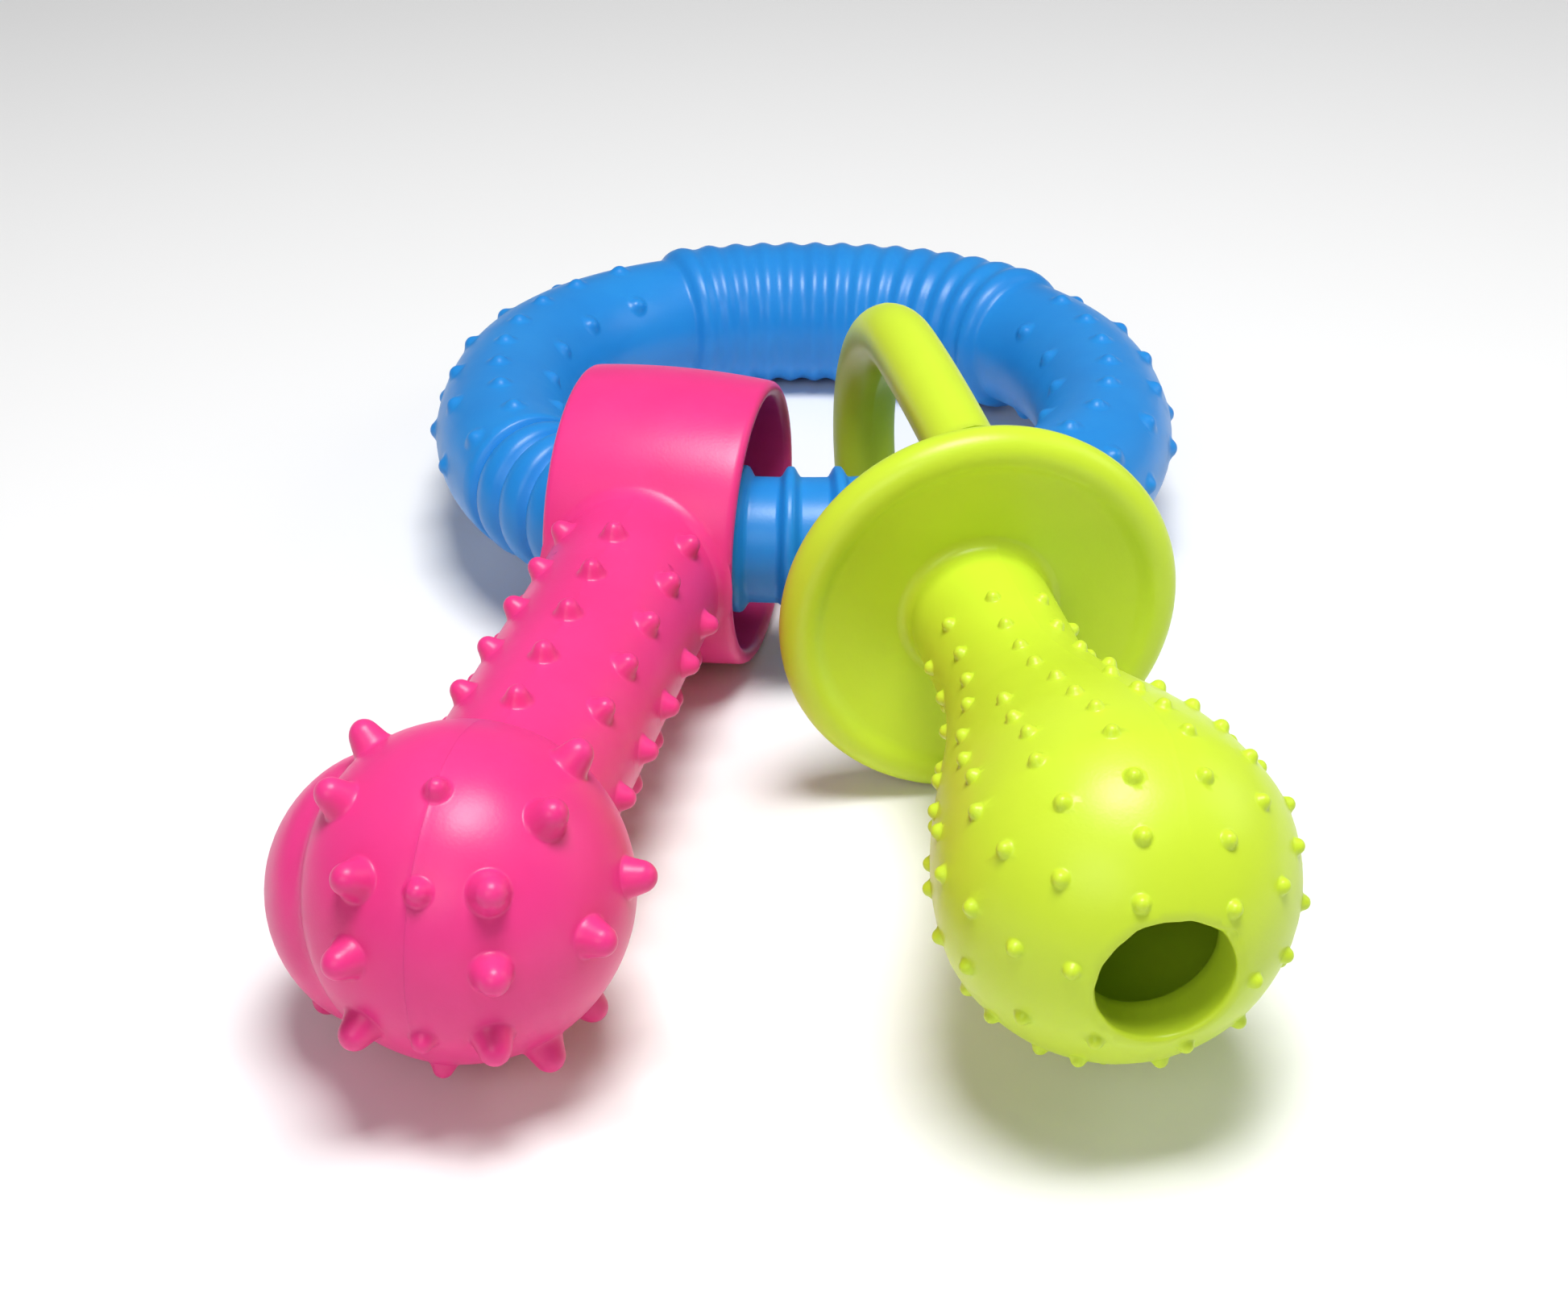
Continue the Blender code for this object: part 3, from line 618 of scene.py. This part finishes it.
def union(first, second):
    """One closed mesh from two that overlap."""
    for piece in (first, second):
        bpy.context.scene.collection.objects.link(piece)
    modifier = first.modifiers.new("join", "BOOLEAN")
    modifier.operation = "UNION"
    modifier.solver = "EXACT"
    modifier.object = second
    evaluated = first.evaluated_get(bpy.context.evaluated_depsgraph_get())
    mesh = bpy.data.meshes.new_from_object(evaluated)
    name = first.name
    bpy.data.objects.remove(first)
    bpy.data.objects.remove(second)
    return bpy.data.objects.new(name, mesh)


def make_stick(material):
    stick = union(make_strap(), make_shaft())
    stick.name = "stick_skin"
    put(stick, STICK_MATRIX, material, "stick", "stick_rubber", "stick")


# ---- head ----

def head_direction(lean, turn):
    """Direction at lean degrees from the seam plane (+ right), and round it from the front up."""
    a, b = math.radians(lean), math.radians(turn)
    return Vector((math.sin(a), -math.cos(a) * math.cos(b), math.cos(a) * math.sin(b)))


def head_radius(direction):
    """The near lobe's ball, or the second lobe where that reaches further, with a groove between."""
    along = direction.dot(LOBE_OFFSET)
    inside = along * along - LOBE_OFFSET.length_squared + LOBE_R * LOBE_R
    lobe = along + math.sqrt(inside)
    step = lobe - HEAD_R
    return max(lobe, HEAD_R) - ridge(step, LOBE_GROOVE_DEPTH, LOBE_GROOVE_WIDTH)


def head_spots():
    """Direction and size of each spike: mirrored pairs, and small ones along the seam."""
    facing = Matrix.Rotation(math.radians(HEAD_TURN_DEG), 3, "Z")
    spots = []
    for lean, turn in SPIKE_PAIRS:
        spots.append((facing @ head_direction(lean, turn), 1.0))
        spots.append((facing @ head_direction(-lean, turn), 1.0))
    for turn in SEAM_SPIKES:
        spots.append((facing @ head_direction(0.0, turn), SMALL_SPIKE_SCALE))
    return spots


def head_nubs():
    nubs = []
    for direction, scale in head_spots():
        clear_of_lobe = (direction * HEAD_R - LOBE_OFFSET).length > LOBE_R + 1.0
        if clear_of_lobe and direction.y < math.cos(math.radians(SHAFT_CLEAR_DEG)):
            height = SPIKE_HEIGHT if scale == 1.0 else SMALL_SPIKE_HEIGHT
            nubs.append(Nub(direction * HEAD_R, direction, SPIKE_R * scale, SPIKE_TIP_R * scale,
                            height, SPIKE_FILLET * scale))
    for step in range(LOBE_SPIKE_COUNT):
        direction = head_direction(-LOBE_SPIKE_LEAN, LOBE_SPIKE_FIRST + 360.0 * step / LOBE_SPIKE_COUNT)
        foot = LOBE_OFFSET + direction * LOBE_R
        if foot.length > HEAD_R + 1.5 and direction.y < 0.75:
            nubs.append(Nub(foot, direction, SPIKE_R, SPIKE_TIP_R, LOBE_SPIKE_HEIGHT, SPIKE_FILLET))
    return nubs


def make_head(material):
    """Two hollow halves that meet on the seam. A negative lean is the wall of the hollow."""
    nubs = head_nubs()
    inside = [-lean for lean in spread_down(90.0, 0.05, 9.0)]
    outside = [0.0, 0.35, 0.8, 1.5, 3.0] + spread(4.5, 90.0, 3.4)
    for side, name in ((-1.0, "left"), (1.0, "right")):

        def surface(lean, turn):
            direction = head_direction(max(abs(lean), HEAD_SEAM_GAP_DEG) * side, turn)
            if lean < 0.0:
                return direction * HEAD_CAVITY_R
            seam = ridge(math.radians(lean) * HEAD_R, SEAM_HEIGHT, SEAM_HALF_WIDTH)
            return direction * (head_radius(direction) + seam)

        mine = [nub for nub in nubs if nub.foot.x * side > -SPIKE_R - 0.7]
        shell = skin("head_%s_skin" % name, inside + outside, spread(-180.0, 180.0, 5.0), surface, mine)
        put(shell, HEAD_MATRIX, material, "stick", "stick_rubber", "head_shell_" + name)


# ---- dummy ----

def teat_outer_radius(forward):
    part = smoothstep((forward - NECK_START) / (NECK_END - NECK_START))
    full = math.sqrt(BULB_R ** 2 - (NECK_END - BULB_DISTANCE) ** 2)
    return NECK_R + (full - NECK_R) * part


def bulb_arc(radius, start_deg, stop_deg, steps):
    """Points (radius, forward) on the bulb, angles from its front."""
    turns = [math.radians(start_deg + (stop_deg - start_deg) * i / steps) for i in range(steps + 1)]
    return [(radius * math.sin(t), BULB_DISTANCE + radius * math.cos(t)) for t in turns]


def teat_outline():
    """Outline from the back of the hollow out of the mouth and back to the shield.

    Also gives the number of the point where the lip ends and the outer skin starts.
    """
    inner_stop = math.degrees(math.asin(MOUTH_R / HOLLOW_R))
    points = [(HOLLOW_R * math.sin(t), HOLLOW_DISTANCE + HOLLOW_R * math.cos(t))
              for t in [math.radians(a) for a in spread_down(180.0, inner_stop + 2.0, 6.0)]]
    points[0] = (0.0, HOLLOW_DISTANCE - HOLLOW_R)
    lip = 0.8
    outer_turn = math.degrees(math.asin((MOUTH_R + lip) / BULB_R))
    tip = BULB_DISTANCE + BULB_R * math.cos(math.radians(outer_turn))
    tunnel = HOLLOW_DISTANCE + HOLLOW_R * math.cos(math.radians(inner_stop)) + 0.5
    points += [(MOUTH_R, f) for f in spread(tunnel, tip - lip - 0.4, 1.0)]
    points += arc((MOUTH_R + lip, tip - lip * 0.85), lip, 180.0, 108.0, 6)
    mouth_end = len(points) - 1
    neck_turn = math.degrees(math.acos((NECK_END - BULB_DISTANCE) / BULB_R))
    points += bulb_arc(BULB_R, outer_turn + 1.5, neck_turn, 40)
    neck = spread_down(NECK_END - 0.7, NECK_FILLET - DISH_DEPTH, 0.7)
    points += [(teat_outer_radius(forward), forward) for forward in neck]
    base = -DISH_DEPTH + 0.02
    points += arc((NECK_R + NECK_FILLET, base + NECK_FILLET), NECK_FILLET, 180.0, 270.0, 10)[1:]
    points += [(NECK_R + NECK_FILLET - 0.1, base - 0.2), (0.0, base - 0.2)]
    return points, mouth_end


def teat_nubs():
    nubs = []
    for forward, count, first in TEAT_RINGS:
        if forward > NECK_END:
            radius = math.sqrt(BULB_R ** 2 - (forward - BULB_DISTANCE) ** 2)
            slope = -(forward - BULB_DISTANCE) / radius
        else:
            radius = teat_outer_radius(forward)
            slope = (teat_outer_radius(forward + 0.2) - teat_outer_radius(forward - 0.2)) / 0.4
        for step in range(count):
            turn = math.radians(first + 360.0 * step / count)
            outward = Vector((math.sin(turn), 0.0, math.cos(turn)))
            foot = outward * radius + Vector((0.0, -forward, 0.0))
            nubs.append(Nub(foot, outward + Vector((0.0, slope, 0.0)), *TEAT_NUB))
    return nubs


def make_teat(material, matrix):
    points, mouth_end = teat_outline()
    at, lengths = profile_curve(points)
    lip_length = lengths[mouth_end]
    whole = lengths[-1]

    def surface(length, turn_deg):
        radius, forward = at(min(length, whole))
        turn = math.radians(turn_deg)
        from_seam = (turn_deg - SEAM_ROLL_DEG + 90.0) % 180.0 - 90.0
        if length > lip_length:
            radius += ridge(math.radians(from_seam) * radius, SEAM_HEIGHT, SEAM_HALF_WIDTH)
        at_lip = math.exp(-((length - lip_length + 0.2) / 0.55) ** 2)
        if at_lip > 0.01:
            ragged = (math.sin(5.0 * turn + 0.6) + 0.7 * math.sin(9.0 * turn + 2.1)
                      + 0.5 * math.sin(17.0 * turn)) * 0.5
            notch = math.exp(-((turn_deg - SEAM_ROLL_DEG - 42.0) / 7.0) ** 2)
            radius -= at_lip * (0.16 + 0.13 * ragged - 0.9 * notch)
            forward += at_lip * (0.10 * ragged - 0.35 * notch)
        return Vector((radius * math.sin(turn), -forward, radius * math.cos(turn)))

    inside = [length for length in lengths if length <= lip_length + 0.4]
    outside = spread(lip_length + 0.9, whole - 20.0, 1.45)
    base = [length for length in lengths if length > outside[-1] + 0.3]
    turns = spread(-180.0 + SEAM_ROLL_DEG, 180.0 + SEAM_ROLL_DEG, 5.625)
    for line in (SEAM_ROLL_DEG - 180.0, SEAM_ROLL_DEG, SEAM_ROLL_DEG + 180.0):
        turns = with_line(turns, line, (0.5, 1.2, 2.4))
    turns = [t for t in turns if -180.0 <= t - SEAM_ROLL_DEG <= 180.0]
    teat = skin("teat_skin", inside + outside + base, turns, surface, teat_nubs(), levels=(0.9, 0.35, 0.15))
    put(teat, matrix, material, "dummy", "dummy_rubber", "teat")


def shield_outline():
    """Outline from the middle of the dish, over the rim, to the middle of the back."""
    points = [(0.0, -DISH_DEPTH), (DISH_FLAT_R * 0.5, -DISH_DEPTH)]
    rim_centre = (SHIELD_R - RIM_R, -RIM_R)
    join_turn = 138.0
    rim = arc(rim_centre, RIM_R, join_turn, -60.0, 16)
    inner_r = rim[0][0]
    for radius in spread(DISH_FLAT_R, inner_r - 0.8, 0.9):
        part = (radius - DISH_FLAT_R) / (inner_r - DISH_FLAT_R)
        points.append((radius, -DISH_DEPTH + (DISH_DEPTH + rim[0][1]) * part ** 1.3))
    points += rim
    points += [(SHIELD_R - 5.0, -SHIELD_BACK + 0.7)]
    points += arc((SHIELD_R - 6.4, -SHIELD_BACK + 0.8), 0.8, -40.0, -90.0, 4)
    points += [(9.0, -SHIELD_BACK), (0.0, -SHIELD_BACK)]
    return points


def make_shield(material, matrix):
    points = shield_outline()

    def surface(index, turn_deg):
        radius, forward = points[round(index)]
        turn = math.radians(turn_deg)
        return Vector((radius * math.sin(turn), -forward, radius * math.cos(turn)))

    shield = skin("shield_skin", list(range(len(points))), spread(0.0, 360.0, 3.0), surface)
    put(shield, matrix, material, "dummy", "dummy_rubber", "shield")


def handle_line():
    """Centre line of the D from the top leg's root round to the bottom leg's root."""
    top = []
    for along in spread(HANDLE_START, HANDLE_STRAIGHT, 1.1)[:-1]:
        bow = math.sin(math.pi / 2 * along / HANDLE_STRAIGHT)
        top.append((along, HANDLE_ROOT_HALF_HEIGHT + (HANDLE_HALF_HEIGHT - HANDLE_ROOT_HALF_HEIGHT) * bow))
    bend = arc((HANDLE_STRAIGHT, 0.0), HANDLE_HALF_HEIGHT, 90.0, -90.0, 56)
    return top + bend + [(along, -height) for along, height in reversed(top)]


def make_handle(material):
    line = handle_line()
    last = len(line) - 1

    def surface(index, turn_deg):
        i = round(index)
        before, after = line[max(i - 1, 0)], line[min(i + 1, last)]
        tangent = Vector((0.0, after[0] - before[0], after[1] - before[1])).normalized()
        outward = Vector((1.0, 0.0, 0.0)).cross(tangent) * -1.0
        from_root = min(abs(line[i][0] - HANDLE_START), 3.0) if i < 12 or i > last - 12 else 3.0
        flare = 1.5 * (1.0 - math.sin(math.pi / 2 * from_root / 3.0))
        turn = math.radians(turn_deg)
        seam = ridge(math.sin(turn) * HANDLE_TUBE_R, SEAM_HEIGHT, SEAM_HALF_WIDTH)
        radius = HANDLE_TUBE_R + flare + seam
        centre = Vector((0.0, line[i][0], line[i][1]))
        return centre + outward * (radius * math.cos(turn)) + Vector((radius * math.sin(turn), 0.0, 0.0))

    turns = with_line(spread(-180.0, 180.0, 12.0), 0.0, (1.6, 3.8, 7.0))
    handle = skin("handle_skin", list(range(last + 1)), turns, surface)
    put(handle, handle_matrix(), material, "dummy", "dummy_rubber", "handle_loop")


# ---- stage ----

def make_floor():
    mesh = bpy.data.meshes.new("floor")
    size = 3.0
    mesh.from_pydata([(-size, -size, 0.0), (size, -size, 0.0), (size, size, 0.0), (-size, size, 0.0)],
                     [], [(0, 1, 2, 3)])
    floor = bpy.data.objects.new("floor", mesh)
    bpy.context.scene.collection.objects.link(floor)
    material = bpy.data.materials.new("pale_floor")
    material.use_nodes = True
    shader = material.node_tree.nodes["Principled BSDF"]
    shader.inputs["Base Color"].default_value = (0.90, 0.90, 0.90, 1.0)
    shader.inputs["Roughness"].default_value = 0.75
    shader.inputs["Specular IOR Level"].default_value = 0.2
    mesh.materials.append(material)


def add_area(name, place, target, size, power):
    light = bpy.data.lights.new(name, "AREA")
    light.shape = "RECTANGLE"
    light.size = size[0]
    light.size_y = size[1]
    light.energy = power
    lamp = bpy.data.objects.new(name, light)
    lamp.location = place
    lamp.rotation_euler = (Vector(target) - Vector(place)).to_track_quat("-Z", "Y").to_euler()
    bpy.context.scene.collection.objects.link(lamp)


def make_light():
    world = bpy.data.worlds.new("studio")
    world.use_nodes = True
    background = world.node_tree.nodes["Background"]
    background.inputs["Color"].default_value = (1.0, 1.0, 1.0, 1.0)
    background.inputs["Strength"].default_value = 0.18
    bpy.context.scene.world = world
    add_area("softbox_top", (0.03, -0.10, 0.62), (0.0, -0.03, 0.0), (0.26, 0.20), 3.8)
    add_area("softbox_front", (-0.25, -0.75, 0.55), (0.0, 0.0, 0.02), (0.5, 0.4), 1.6)
    add_area("softbox_side", (0.70, 0.15, 0.45), (0.0, 0.0, 0.02), (0.4, 0.4), 0.9)


def make_camera():
    data = bpy.data.cameras.new("camera")
    data.lens = CAMERA_LENS
    data.sensor_width = SENSOR_WIDTH
    data.clip_start = 0.01
    camera = bpy.data.objects.new("camera", data)
    camera.location = Vector(CAMERA_PLACE) * MM
    camera.rotation_euler = (math.radians(90.0 - CAMERA_PITCH_DEG), 0.0, 0.0)
    bpy.context.scene.collection.objects.link(camera)
    bpy.context.scene.camera = camera


def dress_cad_nodes():
    """The pieces inside keep their CAD shapes, with plain moulded plastics."""
    clear = hard_plastic("milky_plastic", (0.80, 0.82, 0.84), 0.30)
    yellow = hard_plastic("bead_plastic", (0.85, 0.50, 0.05), 0.30)
    green = hard_plastic("plug_plastic", (0.55, 0.75, 0.06), 0.40)
    finishes = {"ring_joint_pin_left": clear, "ring_joint_pin_right": clear, "capsule_half_front": clear,
                "capsule_half_back": clear, "teat_plug": green}
    for name, node in frame["nodes"].items():
        if name.startswith("bead_"):
            finishes[name] = yellow
        if name in finishes:
            for material_slot in node.material_slots:
                material_slot.material = finishes[name]


def main():
    scene = bpy.context.scene
    for leftover in [o for o in scene.objects if o.type in {"LIGHT", "CAMERA"} or o.name == "Cube"]:
        bpy.data.objects.remove(leftover, do_unlink=True)
    scene.view_settings.view_transform = "Standard"
    make_camera()
    blue = rubber("blue_rubber", BLUE, (0.013, 0.230, 0.650), 0.35, (0.25, 0.6, 1.0))
    pink = rubber("pink_rubber", PINK, (0.790, 0.034, 0.225), 0.35, (1.0, 0.30, 0.35))
    green = rubber("green_rubber", GREEN, (0.570, 0.750, 0.032), 0.35, (0.8, 1.0, 0.25))
    make_ring(blue)
    make_stick(pink)
    make_head(pink)
    shield_frame = dummy_matrix()
    make_teat(green, shield_frame)
    make_shield(green, shield_frame)
    make_handle(green)
    dress_cad_nodes()
    make_floor()
    make_light()


main()
